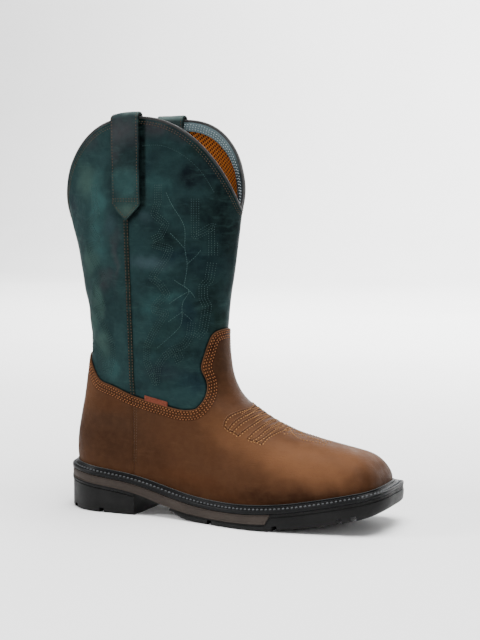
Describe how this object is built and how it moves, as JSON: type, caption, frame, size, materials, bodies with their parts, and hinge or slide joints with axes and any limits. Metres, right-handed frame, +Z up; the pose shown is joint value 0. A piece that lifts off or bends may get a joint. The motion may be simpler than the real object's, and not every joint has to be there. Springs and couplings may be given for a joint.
{
  "type": "western work boot",
  "caption": "Pull-on western work boot for the right foot: tall scalloped shaft with pull straps, square toe, welted rubber sole and a block heel.",
  "frame": {"origin": "on the floor, under the middle of the boot's box", "axes": "+Z up, +X towards the toe, +Y towards the inner side of the right foot"},
  "size_m": [0.3114, 0.1044, 0.353],
  "materials": {
    "shaft_leather": "mottled blue-green waxed leather",
    "foot_leather": "oiled brown pull-up leather",
    "edge_leather": "dark rolled edge",
    "tag_weave": "bare woven tag",
    "welt_rubber": "smooth black",
    "midsole_rubber": "matt brown-grey",
    "sole_rubber": "matt black",
    "insole_foam": "cloth-covered footbed"
  },
  "bodies": {
    "root": {"upper": "shaft_leather", "vamp": "foot_leather", "counter": "foot_leather", "side_seam_outer": "shaft_leather", "side_seam_inner": "shaft_leather", "pull_strap_outer": "shaft_leather", "pull_strap_inner": "shaft_leather", "collar_binding": "edge_leather", "edge_tag": "tag_weave", "welt": "welt_rubber", "midsole": "midsole_rubber", "outsole": "sole_rubber", "heel": "sole_rubber", "insole": "insole_foam"}
  },
  "joints": []
}
